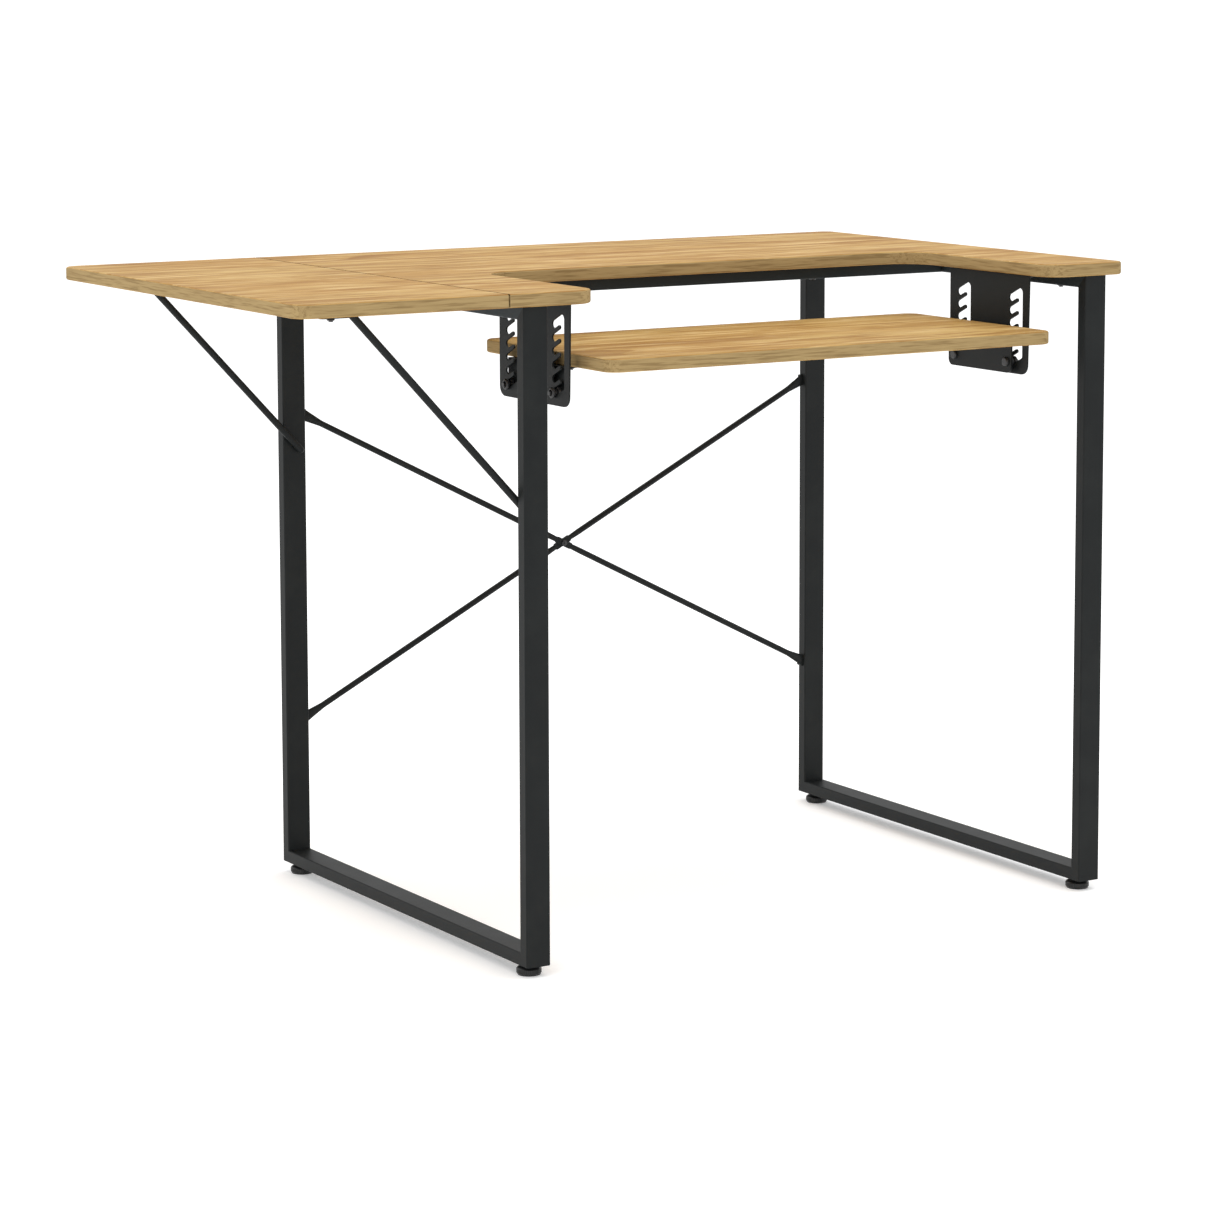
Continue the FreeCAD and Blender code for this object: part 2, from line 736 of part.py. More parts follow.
def brace_bar(falling):
    """Round bar, flattened where the bars cross; each end flares and turns back on to the leg."""
    a, b = brace_ends(falling)
    shift = V(0, brace_side(falling), 0)
    run = V(b - a).normalize()
    normal = V(0, 1, 0).cross(run)
    middle = (a + b) * 0.5 + shift
    half_mid = brace_mid_len / 2
    r = brace_d / 2
    flat_r = brace_flat_t / 2
    place = lambda u, w: V(middle.x, middle.y - flat_r, middle.z) + run * u + normal * w
    hw = brace_flat_w / 2
    shape = prism([(-half_mid, -hw, hw * 0.8), (half_mid, -hw, hw * 0.8), (half_mid, hw, hw * 0.8),
                   (-half_mid, hw, hw * 0.8)], place, V(0, brace_flat_t, 0))
    for end, way in ((a, 1), (b, -1)):
        out = run * way
        centre_end = middle - out * (half_mid - 3)
        blend_end = middle - out * (half_mid + 12)
        flare_start = end + shift + out * brace_flat_len
        shape = shape.fuse(Part.makeLoft([oval(centre_end, normal, flat_r, hw * 0.8, run),
                                          oval(blend_end, normal, r, r, run)], True))
        shape = shape.fuse(rod(flare_start, blend_end, r))
        flare_end = end + shift - out * 6
        shape = shape.fuse(Part.makeLoft([oval(flare_start, normal, r, r, run),
                                          oval(flare_end, normal, brace_foot_t / 2, brace_flare_w * 0.55, run)],
                                         True))
        y0 = end.y + shift.y - brace_foot_t / 2
        y1 = frame_y1 - brace_back_margin
        high = brace_flare_w / 2
        foot = prism([(y0, end.z - high, 0), (y1, end.z - high, 2), (y1, end.z + high, 2), (y0, end.z + high, 0)],
                     lambda p, q: V(end.x, p, q), V(way * brace_foot_t, 0, 0))
        shape = shape.fuse(foot)
        beyond = end.x - way * brace_flat_len
        shape = shape.cut(box(min(beyond, end.x), max(beyond, end.x), end.y - tube_d * 2, end.y + tube_d * 2,
                              end.z - brace_flat_len * 2, end.z + brace_flat_len * 2))
    holes = [rod(middle - V(0, brace_d, 0), middle + V(0, brace_d, 0), brace_bolt_r)]
    for end, way in ((a, 1), (b, -1)):
        holes.append(brace_screw_shank(end, way, falling))
        start = brace_screw_seat(end, way, falling)
        holes.append(rod(start, start + V(way * brace_flat_len, 0, 0), brace_screw_head_r + 0.2))
    return drilled(shape, holes)


def brace_screw_seat(end, way, falling):
    """Centre of the screw head's bearing face on a foot, half way between bar and leg's back edge."""
    flat_y = end.y + brace_side(falling) + brace_foot_t / 2
    return V(end.x + way * brace_foot_t, (flat_y + frame_y1 - brace_back_margin) / 2, end.z)


def brace_screw_shank(end, way, falling):
    seat = brace_screw_seat(end, way, falling)
    return rod(seat + V(way, 0, 0), seat - V(way * brace_screw_len, 0, 0), brace_screw_r)


def brace_end_screws():
    parts = []
    for falling in (True, False):
        for end, way in zip(brace_ends(falling), (1, -1)):
            seat = brace_screw_seat(end, way, falling)
            head = rod(seat, seat + V(way * brace_screw_head_t, 0, 0), brace_screw_head_r)
            parts.append(rod(seat, seat - V(way * brace_screw_len, 0, 0), brace_screw_r).fuse(head))
    return Part.makeCompound(parts)


def brace_centre():
    a, b = brace_ends(True)
    return (a + b) * 0.5


def brace_centre_bolt():
    c = brace_centre()
    reach = brace_flat_t + brace_mid_gap / 2
    shank = rod(c - V(0, reach, 0), c + V(0, reach + 5, 0), brace_bolt_r)
    head = rod(c - V(0, reach, 0), c - V(0, reach + brace_centre_head_t, 0), brace_centre_head_r)
    return shank.fuse(head)


def brace_centre_nut():
    c = brace_centre() + V(0, brace_flat_t + brace_mid_gap / 2, 0)
    return hex_prism(c, V(0, 1, 0), 7.0, 3.2).cut(rod(c, c + V(0, 9, 0), brace_bolt_r))


def build():
    nodes = {'main_top': main_top(), 'side_leaf': side_leaf(), 'platform_board': platform_board()}
    rail_shanks = shanks(('rail',))
    for name, x0 in (('left', left_frame_x), ('right', right_frame_x)):
        for part, shape in frame_tubes(x0).items():
            if part == 'top_rail':
                shape = drilled(shape, rail_shanks + [cross_bolt_shank(-1), cross_bolt_shank(1)])
            if part == 'bottom_bar':
                shape = drilled(shape, [insert_hole(x, y) for _, x, y in foot_places()])
            if part == 'back_leg':
                for falling in (True, False):
                    for end, way in zip(brace_ends(falling), (1, -1)):
                        shape = shape.cut(brace_screw_shank(end, way, falling))
            if name == 'left' and part == 'front_leg':
                shape = shape.cut(strut_leg_hole('front'))
            if name == 'left' and part == 'back_leg':
                shape = shape.cut(strut_leg_hole('back'))
            nodes[name + '_' + part] = shape
    nodes['cross_rail'] = cross_rail()
    nodes['cross_rail_plugs'] = cross_rail_plugs()
    nodes['cross_rail_bolts'] = cross_rail_bolts()
    nodes['rail_screws'] = screws('rail')
    for name, x, y in foot_places():
        nodes[name + '_foot_pad'] = foot_pad(x, y)
        nodes[name + '_foot_stud'] = foot_stud(x, y)
    nodes['foot_inserts'] = Part.makeCompound([foot_insert(x, y) for _, x, y in foot_places()])
    for name, side in (('left', -1), ('right', 1)):
        nodes[name + '_notched_plate'] = notched_plate(side)
        nodes[name + '_platform_hanger'] = hanger(side)
        nodes[name + '_platform_pins'] = platform_pins(side)
        nodes[name + '_pin_caps'] = platform_caps(side)
    nodes['notched_plate_screws'] = screws('plate')
    nodes['platform_hanger_screws'] = screws('hanger')
    for k, y in enumerate(hinge_centres()):
        nodes['hinge_main_flap_%d' % (k + 1)] = hinge_plate(y, 1)
        nodes['hinge_leaf_flap_%d' % (k + 1)] = hinge_plate(y, -1)
    nodes['hinge_pins'] = hinge_pins()
    nodes['hinge_main_screws'] = screws('hinge_main')
    nodes['hinge_leaf_screws'] = screws('hinge_leaf')
    for which in ('front', 'back'):
        nodes[which + '_strut'] = strut(which)
        nodes[which + '_strut_clip'] = strut_clip(which)
        nodes[which + '_strut_tab_screw'] = strut_tab_screw(which)
    nodes['falling_brace'] = brace_bar(True)
    nodes['rising_brace'] = brace_bar(False)
    nodes['brace_end_screws'] = brace_end_screws()
    nodes['brace_centre_bolt'] = brace_centre_bolt()
    nodes['brace_centre_nut'] = brace_centre_nut()
    return nodes


os.makedirs('parts', exist_ok=True)
for node, shape in build().items():
    shape.exportStep('parts/' + node + '.step')
    print(node, 'valid' if shape.isValid() else 'NOT VALID', len(shape.Solids), round(shape.Volume / 1000, 2), 'cm3')
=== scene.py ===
import bpy
import bmesh
import json
import math
from mathutils import Matrix, Vector


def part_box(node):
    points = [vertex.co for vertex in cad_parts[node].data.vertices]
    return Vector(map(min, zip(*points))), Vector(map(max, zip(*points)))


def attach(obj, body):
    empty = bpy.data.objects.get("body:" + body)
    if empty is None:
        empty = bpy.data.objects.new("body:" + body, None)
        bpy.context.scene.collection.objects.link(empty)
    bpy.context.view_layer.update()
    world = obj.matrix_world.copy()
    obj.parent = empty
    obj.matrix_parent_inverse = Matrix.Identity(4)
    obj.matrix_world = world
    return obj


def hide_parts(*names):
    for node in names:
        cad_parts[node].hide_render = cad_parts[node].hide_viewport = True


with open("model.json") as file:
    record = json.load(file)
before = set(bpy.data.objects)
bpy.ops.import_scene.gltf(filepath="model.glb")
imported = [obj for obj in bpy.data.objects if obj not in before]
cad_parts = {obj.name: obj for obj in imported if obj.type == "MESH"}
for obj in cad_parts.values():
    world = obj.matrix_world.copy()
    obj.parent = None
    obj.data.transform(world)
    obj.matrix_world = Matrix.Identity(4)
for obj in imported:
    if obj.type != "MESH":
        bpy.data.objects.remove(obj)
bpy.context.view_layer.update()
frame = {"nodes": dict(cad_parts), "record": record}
bpy.ops.object.select_all(action="DESELECT")
print("frame loaded", len(frame["nodes"]), "nodes")


# ---------- finishes ----------
class Wire:
    def __init__(self, finish, socket):
        self.finish = finish
        self.socket = socket

    def combine(self, operation, left, right):
        return self.finish.add("ShaderNodeMath", {"operation": operation}, {0: left, 1: right})

    def __add__(self, other):
        return self.combine("ADD", self, other)

    def __radd__(self, other):
        return self.combine("ADD", other, self)

    def __sub__(self, other):
        return self.combine("SUBTRACT", self, other)

    def __mul__(self, other):
        return self.combine("MULTIPLY", self, other)


class Finish:
    def __init__(self, name):
        self.material = bpy.data.materials.new(name)
        self.material.use_nodes = True
        self.tree = self.material.node_tree
        self.tree.nodes.clear()

    def add(self, kind, settings=None, inputs=None, output=0):
        node = self.tree.nodes.new(kind)
        for key, value in (settings or {}).items():
            setattr(node, key, value)
        for key, value in (inputs or {}).items():
            if isinstance(value, Wire):
                self.tree.links.new(value.socket, node.inputs[key])
            else:
                node.inputs[key].default_value = value
        return Wire(self, node.outputs[output]) if node.outputs else None

    def place(self):
        return self.add("ShaderNodeTexCoord", output="Object")

    def stretch(self, vector, scale, shift=(0, 0, 0)):
        return self.add("ShaderNodeMapping", {}, {"Vector": vector, "Location": shift, "Scale": scale})

    def noise(self, vector, scale=1.0, detail=3.0, roughness=0.55, distortion=0.0):
        return self.add("ShaderNodeTexNoise", {}, {"Vector": vector, "Scale": scale, "Detail": detail,
                                                   "Roughness": roughness, "Distortion": distortion})

    def ease(self, value, low, high):
        return self.add("ShaderNodeMapRange", {"interpolation_type": "SMOOTHSTEP"},
                        {"Value": value, "From Min": low, "From Max": high})

    def absolute(self, value):
        return self.add("ShaderNodeMath", {"operation": "ABSOLUTE"}, {0: value})

    def parts(self, vector):
        split = self.tree.nodes.new("ShaderNodeSeparateXYZ")
        self.tree.links.new(vector.socket, split.inputs[0])
        return [Wire(self, socket) for socket in split.outputs]

    def blend(self, factor, first, second):
        return self.add("ShaderNodeMix", {"data_type": "RGBA"},
                        {"Factor": factor, 6: first, 7: second}, output=2)

    def bump(self, height, distance, strength=1.0):
        return self.add("ShaderNodeBump", {},
                        {"Height": height, "Distance": distance, "Strength": strength})

    def shade(self, **inputs):
        surface = self.add("ShaderNodeBsdfPrincipled", {},
                           {key.replace("_", " "): value for key, value in inputs.items()})
        self.add("ShaderNodeOutputMaterial", {}, {"Surface": surface})
        return self.material


def tint(red, green, blue):
    return (red, green, blue, 1.0)


oakLook = {
    "pale": tint(0.468, 0.308, 0.112), "honey": tint(0.400, 0.232, 0.070),
    "streak": tint(0.240, 0.112, 0.026), "cream": tint(0.560, 0.390, 0.180),
    # edge tones for the side faces: partly the edge band's own colour, partly painted shade for faces
    # turned away from the top light
    "edge": tint(0.338, 0.240, 0.110), "edgeDark": tint(0.170, 0.108, 0.044),
    # the seam colour is painted shade for the gap between main top and leaf, drawn on the lip of the
    # seam face
    "seamShade": tint(0.050, 0.030, 0.014), "seamX": -0.290, "seamHalf": 0.0025,
    "seamLow": 0.7484, "seamFade": 0.0003,
    "ringGap": 0.050, "fibreBump": 0.00006, "roughness": 0.48, "gloss": 0.05}

# scale along and across the grain, shift, detail, roughness and distortion of each layer
oakGrain = {
    "drift": ((1.3, 5.0, 5.0), (0, 0, 0), 2.0, 0.5, 0.0),
    "sway": ((4.0, 16.0, 16.0), (0, 0, 0), 3.0, 0.5, 0.0),
    "ringShown": ((2.2, 11.0, 11.0), (3.1, 1.7, 0.4), 3.0, 0.6, 0.0),
    "broad": ((5.0, 44.0, 44.0), (0, 0, 0), 4.0, 0.66, 0.7),
    "streaks": ((9.0, 95.0, 95.0), (0, 0, 0), 4.0, 0.66, 0.3),
    "flecks": ((9.0, 92.0, 92.0), (1.9, 4.4, 2.6), 4.0, 0.60, 0.5),
    "lines": ((20.0, 400.0, 400.0), (0, 0, 0), 2.0, 0.6, 0.0),
    "fibres": ((26.0, 900.0, 900.0), (0, 0, 0), 3.0, 0.6, 0.0),
    "patch": ((3.2, 9.0, 9.0), (7.3, 2.2, 5.1), 3.0, 0.55, 0.0),
    "pores": ((75.0, 1300.0, 1300.0), (0, 0, 0), 1.0, 0.5, 0.0)}


def makeOak(name, shift):
    look = oakLook
    f = Finish(name)
    here = f.stretch(f.place(), (1, 1, 1), shift)
    facing = f.parts(f.add("ShaderNodeTexCoord", output="Normal"))
    facingX = f.absolute(facing[0])
    onEnd = f.ease(facingX, 0.65, 0.75)
    onEdge = f.ease(f.absolute(facing[2]), 0.80, 0.55)
    turned = f.add("ShaderNodeVectorRotate", {"rotation_type": "Z_AXIS"},
                   {"Vector": here, "Angle": math.pi / 2})
    along = f.add("ShaderNodeMix", {"data_type": "VECTOR"},
                  {"Factor": onEnd, 4: here, 5: turned}, output=1)

    grain = {}
    for key, (scale, offset, detail, rough, distortion) in oakGrain.items():
        grain[key] = f.noise(f.stretch(along, scale, offset), 1.0, detail, rough, distortion)
    across = f.parts(along)
    rings = across[1] + across[2] * 0.6 + grain["drift"] * 0.34 + grain["sway"] * 0.040
    wave = f.add("ShaderNodeMath", {"operation": "FRACT"}, {0: rings * (1.0 / look["ringGap"])})
    ringLine = f.ease(wave, 0.35, 0.98) * f.ease(wave, 1.0, 0.94)
    ringShown = f.ease(grain["ringShown"], 0.42, 0.62)
    pores = f.ease(grain["pores"], 0.64, 0.74)

    tone = f.blend(f.ease(grain["patch"], 0.34, 0.66), look["pale"], look["honey"])
    tone = f.blend(f.ease(grain["broad"], 0.50, 0.68) * 0.80, tone, look["honey"])
    tone = f.blend(f.ease(grain["broad"], 0.42, 0.26) * 0.55, tone, look["cream"])
    tone = f.blend(f.ease(grain["streaks"], 0.48, 0.70) * 0.55, tone, look["streak"])
    tone = f.blend(f.ease(grain["flecks"], 0.50, 0.64) * 0.64, tone, look["streak"])
    tone = f.blend(f.ease(grain["flecks"], 0.48, 0.34) * 0.80, tone, look["cream"])
    tone = f.blend(ringLine * ringShown * 0.80, tone, look["streak"])
    tone = f.blend(f.ease(grain["fibres"], 0.52, 0.78) * 0.30, tone, look["streak"])
    tone = f.blend(pores * 0.35, tone, look["streak"])
    # side faces take a darker tone: the edge band's own tone and grain, plus painted shade for faces
    # that get less light than the top
    bandAndShade = f.blend(f.ease(grain["streaks"], 0.45, 0.70) * 0.28, look["edge"], look["edgeDark"])
    bandAndShade = f.blend(f.ease(grain["lines"], 0.46, 0.66) * 0.60, bandAndShade, look["edgeDark"])
    bandAndShade = f.blend(f.ease(grain["fibres"], 0.50, 0.75) * 0.5, bandAndShade, look["edgeDark"])
    color = f.blend(onEdge, tone, bandAndShade)

    # painted shade: a dark line at the lip of the seam face, standing in for the shade in the gap
    # between main top and leaf
    spot = f.parts(f.place())
    fromSeam = f.absolute(spot[0] - look["seamX"])
    seamShadeMask = (f.ease(fromSeam, look["seamHalf"], look["seamHalf"] * 0.8)
              * f.ease(facingX, 0.4, 0.8))
    onLip = f.ease(spot[2], look["seamLow"], look["seamLow"] + look["seamFade"])
    color = f.blend(seamShadeMask * onLip, color, look["seamShade"])
    roughness = look["roughness"] + grain["fibres"] * 0.16 + onEdge * 0.1
    relief = f.bump(grain["fibres"] - pores * 0.8, look["fibreBump"], 0.7)
    return f.shade(Base_Color=color, Roughness=roughness, Normal=relief,
                   Specular_IOR_Level=look["gloss"])


coatLook = {"body": tint(0.0060, 0.0074, 0.0077), "worn": tint(0.018, 0.020, 0.019), "grain": 0.00005,
            "roughness": 0.40, "gloss": 0.17}


# painted light: the rails under the top get a lighter, bluer copy of the frame's black coat, standing
# in for the light they get in the shade of the top
railPaintedLightLook = {"body": tint(0.0160, 0.0225, 0.0260), "worn": tint(0.026, 0.032, 0.035), "grain": 0.00005,
            "roughness": 0.42, "gloss": 0.17}


def makeCoat(name, look):
    f = Finish(name)
    here = f.place()
    peel = f.noise(here, 900.0, 2.0, 0.5)
    cloud = f.noise(here, 22.0, 3.0, 0.6)
    speck = f.ease(f.noise(here, 2600.0, 1.0, 0.5), 0.66, 0.80)
    color = f.blend(f.ease(cloud, 0.35, 0.75) * 0.30 + speck * 0.35, look["body"], look["worn"])
    roughness = look["roughness"] + cloud * 0.12 + peel * 0.08
    return f.shade(Base_Color=color, Roughness=roughness, Normal=f.bump(peel, look["grain"], 0.6),
                   Specular_IOR_Level=look["gloss"])


def makeZinc(name, base):
    f = Finish(name)
    here = f.place()
    brushed = f.noise(f.stretch(here, (60.0, 1500.0, 1500.0)), 1.0, 3.0, 0.6)
    spangle = f.noise(here, 130.0, 3.0, 0.6)
    color = f.blend(f.ease(spangle, 0.35, 0.70), base, tint(0.62, 0.60, 0.54))
    return f.shade(Base_Color=color, Metallic=1.0, Roughness=0.24 + spangle * 0.18,
                   Normal=f.bump(brushed, 0.00003, 0.6))


def makeMoulded(name):
    f = Finish(name)
    here = f.place()
    grainy = f.noise(here, 1500.0, 2.0, 0.5)
    scuff = f.ease(f.noise(f.stretch(here, (90.0, 90.0, 240.0)), 1.0, 4.0, 0.65), 0.55, 0.80)
    color = f.blend(scuff * 0.4, tint(0.0075, 0.0078, 0.0080), tint(0.035, 0.035, 0.034))
    return f.shade(Base_Color=color, Roughness=0.32 + scuff * 0.2, Normal=f.bump(grainy, 0.00004, 0.5),
                   Specular_IOR_Level=0.45)


hardwareLook = {"body": tint(0.010, 0.010, 0.011), "worn": tint(0.05, 0.05, 0.05), "grain": 0.00003,
                "roughness": 0.30, "gloss": 0.5}
mainOak = makeOak("oakMainTop", (0.0, 0.0, 0.0))
leafOak = makeOak("oakLeaf", (3.7, 1.31, 0.2))
platformOak = makeOak("oakPlatform", (-5.2, 2.63, 0.9))
powderCoat = makeCoat("powderCoat", coatLook)
# the rail coat is the frame coat lightened, painted light on rails that sit in shade
railPaintedLightCoat = makeCoat("railPaintedLightCoat", railPaintedLightLook)
blackHardware = makeCoat("blackHardware", hardwareLook)
zincPlate = makeZinc("zincPlate", tint(0.42, 0.42, 0.41))
steelThread = makeZinc("steelThread", tint(0.30, 0.30, 0.30))
mouldedPlastic = makeMoulded("mouldedPlastic")

bySlot = {"black_frame": powderCoat, "black_hardware": blackHardware, "zinc_hardware": zincPlate,
          "foot_plastic": mouldedPlastic}
chosen = {"main_top": mainOak, "side_leaf": leafOak, "platform_board": platformOak,
          "cross_rail": railPaintedLightCoat, "left_top_rail": railPaintedLightCoat, "right_top_rail": railPaintedLightCoat}
slotOf = {part["node"]: part["material_slot"] for part in frame["record"]["subparts"]}
for nodeName, node in frame["nodes"].items():
    finish = chosen.get(nodeName) or bySlot[slotOf[nodeName]]
    for holder in node.material_slots:
        holder.material = finish
print("finishes on the frame")


# ---------- fasteners and feet ----------
def deselectAll():
    if bpy.context.object and bpy.context.object.mode != "OBJECT":
        bpy.ops.object.mode_set(mode="OBJECT")
    bpy.ops.object.select_all(action="DESELECT")


def solidBoxes(nodeName):
    # low and high corner of each loose solid of a node that groups several
    mesh = frame["nodes"][nodeName].data
    work = bmesh.new()
    work.from_mesh(mesh)
    bmesh.ops.remove_doubles(work, verts=work.verts, dist=0.00001)
    boxes = []
    waiting = set(work.verts)
    while waiting:
        found = [waiting.pop()]
        group = list(found)
        while found:
            for edge in found.pop().link_edges:
                for vert in edge.verts:
                    if vert in waiting:
                        waiting.discard(vert)
                        found.append(vert)
                        group.append(vert)
        spots = [vert.co.copy() for vert in group]
        boxes.append((Vector(map(min, *spots)), Vector(map(max, *spots))))
    work.free()
    return boxes


def pickFaces(piece, test):
    bpy.ops.object.mode_set(mode="EDIT")
    bpy.ops.mesh.select_mode(type="FACE")
    bpy.ops.mesh.select_all(action="DESELECT")
    bpy.ops.object.mode_set(mode="OBJECT")
    for polygon in piece.data.polygons:
        polygon.select = test(polygon)
    bpy.ops.object.mode_set(mode="EDIT")


def bevelRim(piece, height, width, segments):
    # softens the edge loop that lies at this height
    bpy.ops.object.mode_set(mode="OBJECT")
    for vert in piece.data.vertices:
        vert.select = False
    for edge in piece.data.edges:
        ends = [piece.data.vertices[i].co.z for i in edge.vertices]
        edge.select = all(abs(z - height) < 0.00001 for z in ends)
    bpy.ops.object.mode_set(mode="EDIT")
    bpy.ops.mesh.select_mode(type="EDGE")
    bpy.ops.mesh.bevel(offset=width, segments=segments, profile=0.5)
    bpy.ops.object.mode_set(mode="OBJECT")


def cutAway(piece, tool):
    bpy.context.view_layer.objects.active = piece
    cutter = piece.modifiers.new("recess", "BOOLEAN")
    cutter.object = tool
    cutter.operation = "DIFFERENCE"
    cutter.solver = "EXACT"
    bpy.ops.object.modifier_apply(modifier=cutter.name)
    bpy.data.objects.remove(tool, do_unlink=True)


headStyle = {"sides": 48, "rimShare": 0.45, "rimSteps": 5, "socketShare": 0.46, "socketDepth": 0.55,
             "crossShare": 0.62, "crossWidth": 0.17, "crossTip": 0.55, "shankSides": 24,
             "smoothAngle": 32}


def makeHead(radius, height, drive):
    # a head standing on z = 0 with its drive recess in the top
    deselectAll()
    bpy.ops.mesh.primitive_cylinder_add(vertices=headStyle["sides"], radius=radius, depth=height,
                                        location=(0, 0, height / 2))
    head = bpy.context.object
    bpy.ops.object.transform_apply(location=True)
    bevelRim(head, height, min(height, radius) * headStyle["rimShare"], headStyle["rimSteps"])
    depth = height * headStyle["socketDepth"]
    deselectAll()
    if drive == "hex":
        bpy.ops.mesh.primitive_cylinder_add(vertices=6, radius=radius * headStyle["socketShare"],
                                            depth=depth * 2, location=(0, 0, height))
        cutAway(head, bpy.context.object)
    else:
        for turn in (0, math.pi / 2):
            deselectAll()
            bpy.ops.mesh.primitive_cube_add(size=1, location=(0, 0, height), rotation=(0, 0, turn))
            blade = bpy.context.object
            blade.scale = (radius * headStyle["crossShare"] * 2,
                           radius * headStyle["crossWidth"] * 2, depth * 2)
            bpy.ops.object.transform_apply(location=True, rotation=True, scale=True)
            # the blade narrows towards its tip
            bpy.ops.object.mode_set(mode="OBJECT")
            for vert in blade.data.vertices:
                if vert.co.z < height:
                    vert.co.x *= headStyle["crossTip"]
                    vert.co.y *= headStyle["crossTip"]
            cutAway(head, blade)
    return head


def placeFasteners(name, nodeName, body, slot, material, outward, drive, headHeight, shankRadius):
    # one detailed fastener for each plain one, its head on the outward side
    pieces = []
    for low, high in solidBoxes(nodeName):
        middle = (low + high) / 2
        way = outward(middle)
        axis = max(range(3), key=lambda k: abs(way[k]))
        radius = min(high[k] - low[k] for k in range(3) if k != axis) / 2
        length = high[axis] - low[axis]
        head = makeHead(radius, headHeight, drive)
        bpy.context.view_layer.objects.active = head
        head.select_set(True)
        bpy.ops.mesh.primitive_cylinder_add(vertices=headStyle["shankSides"], radius=shankRadius,
                                            depth=length - headHeight,
                                            location=(0, 0, -(length - headHeight) / 2))
        shank = bpy.context.object
        bpy.ops.object.transform_apply(location=True)
        head.select_set(True)
        bpy.context.view_layer.objects.active = head
        bpy.ops.object.join()
        seat = middle + way * (length / 2 - headHeight)
        head.data.transform(Matrix.Translation(seat) @ way.to_track_quat("Z", "Y").to_matrix().to_4x4())
        pieces.append(head)
    deselectAll()
    for piece in pieces:
        piece.select_set(True)
    bpy.context.view_layer.objects.active = pieces[0]
    if len(pieces) > 1:
        bpy.ops.object.join()
    made = bpy.context.view_layer.objects.active
    made.name = name
    bpy.ops.object.shade_smooth_by_angle(angle=math.radians(headStyle["smoothAngle"]))
    made.data.materials.clear()
    made.data.materials.append(material)
    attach(made, body)
    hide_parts(nodeName)


# head height and shank radius of each kind, as in the CAD pieces they stand for
fastening = {"screw": (0.0022, 0.002), "cap": (0.0045, 0.0042), "railBolt": (0.0032, 0.003),
             "centreBolt": (0.0020, 0.002)}
down = Vector((0, 0, -1))
platformLow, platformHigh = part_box("platform_board")
railLow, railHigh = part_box("cross_rail")
cutCentre = (platformLow.x + platformHigh.x) / 2
railCentre = (railLow.x + railHigh.x) / 2
for name, nodeName, body, slot, material in (
        ("plateScrews", "notched_plate_screws", "stand", "black_hardware", blackHardware),
        ("hangerScrews", "platform_hanger_screws", "platform", "black_hardware", blackHardware),
        ("railScrews", "rail_screws", "stand", "black_hardware", blackHardware),
        ("hingeMainScrews", "hinge_main_screws", "stand", "zinc_hardware", zincPlate),
        ("hingeLeafScrews", "hinge_leaf_screws", "leaf", "zinc_hardware", zincPlate),
        ("frontTabScrew", "front_strut_tab_screw", "front_strut_arm", "black_hardware", blackHardware),
        ("backTabScrew", "back_strut_tab_screw", "back_strut_arm", "black_hardware", blackHardware)):
    placeFasteners(name, nodeName, body, slot, material, lambda middle: down, "cross",
                   *fastening["screw"])
print("screws")



def sideways(centre, sign):
    # outward direction of a piece that stands to one side of the centre
    return lambda middle: Vector((sign if middle.x > centre else -sign, 0, 0))


for name, nodeName in (("leftPinCaps", "left_pin_caps"), ("rightPinCaps", "right_pin_caps")):
    placeFasteners(name, nodeName, "platform", "black_hardware", blackHardware,
                   sideways(cutCentre, 1), "hex", *fastening["cap"])
placeFasteners("railBolts", "cross_rail_bolts", "stand", "black_hardware", blackHardware,
               sideways(railCentre, 1), "hex", *fastening["railBolt"])
placeFasteners("braceEndScrews", "brace_end_screws", "stand", "black_hardware", blackHardware,
               sideways(railCentre, -1), "cross", *fastening["screw"])
placeFasteners("braceCentreBolt", "brace_centre_bolt", "stand", "black_hardware", blackHardware,
               lambda middle: Vector((0, -1, 0)), "hex", *fastening["centreBolt"])
print("bolts and caps")

footStyle = {"ribs": 36, "ribDepth": 0.0005, "ribLow": 0.0022, "ribHigh": 0.0066, "grooveTop": 0.006,
             "base": 0.0008, "baseInset": 0.0012, "baseRise": 0.0014, "rimRise": 0.0012,
             "rimInset": 0.0008, "shoulder": 0.0082, "shoulderShare": 0.74, "collarLoss": 0.0016,
             "collarShare": 0.44, "threadPitch": 0.00125, "threadDepth": 0.0006, "threadSteps": 28}


